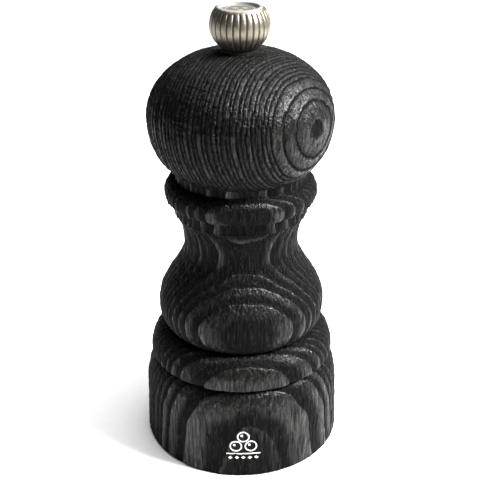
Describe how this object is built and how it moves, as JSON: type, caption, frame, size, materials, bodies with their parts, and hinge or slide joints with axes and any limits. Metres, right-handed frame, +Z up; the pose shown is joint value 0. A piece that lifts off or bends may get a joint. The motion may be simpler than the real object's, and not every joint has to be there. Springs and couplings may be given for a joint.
{
  "type": "pepper mill",
  "caption": "Table pepper mill: turned black-stained wooden body and head, conical steel burrs on a square shaft, and a fluted metal adjusting knob.",
  "frame": {"origin": "centre of the foot, on the surface that the mill stands on", "axes": "+Z up along the turning axis; -Y is the front, where the printed motif is"},
  "size_m": [0.055, 0.055, 0.1204],
  "materials": {
    "stained_ash": "black-stained, wire-brushed open grain, low sheen",
    "steel": "pressed sheet, satin",
    "screw_steel": "zinc plated",
    "burr_steel": "case hardened, dark grey",
    "spring_steel": "drawn wire",
    "shaft_steel": "drawn square bar",
    "bronze": "sintered bronze",
    "dark_washer": "blackened",
    "pewter": "cast, antique nickel, satin",
    "disc_metal": "pressed disc, aged"
  },
  "bodies": {
    "body": {"mill_body": "stained_ash", "grinder_housing": "steel", "housing_screws": "screw_steel", "burr_ring": "burr_steel", "burr_clip": "spring_steel", "guide_bridge": "steel", "bridge_rivets": "steel", "bridge_bush": "bronze"},
    "drive": {"thrust_washer": "steel", "burr_spring": "spring_steel"},
    "spindle": {"spring_cup": "steel", "drive_shaft": "shaft_steel", "rotor_burr": "burr_steel", "rotor_washer": "steel", "shaft_nut": "screw_steel"},
    "head": {"mill_head": "stained_ash", "drive_plate": "steel", "plate_screws": "screw_steel", "top_ferrule": "bronze"},
    "knob_seat": {"knob_washer": "dark_washer"},
    "knob": {"adjusting_knob": "pewter", "knob_disc": "disc_metal"}
  },
  "joints": [
    {"name": "grind_turn", "type": "hinge", "parent": "body", "child": "drive", "pos_m": [0, 0, 0.025], "axis": [0, 0, 1], "continuous": true},
    {"name": "grind_adjust", "type": "slide", "parent": "drive", "child": "spindle", "axis": [0, 0, 1], "range_m": [-0.0012, 0.0002], "deforming": ["burr_spring"]},
    {"name": "head_lift", "type": "slide", "parent": "drive", "child": "head", "axis": [0, 0, 1], "range_m": [0, 0.085]},
    {"name": "knob_lift", "type": "slide", "parent": "head", "child": "knob_seat", "axis": [0, 0, 1], "range_m": [0, 0.02]},
    {"name": "knob_turn", "type": "hinge", "parent": "knob_seat", "child": "knob", "pos_m": [0, 0, 0.115], "axis": [0, 0, 1], "range_deg": [-90.01, 540.01]}
  ],
  "couplings": [
    {"joint": "knob_turn", "follows": "grind_adjust", "rad_per_m": -7854}
  ]
}
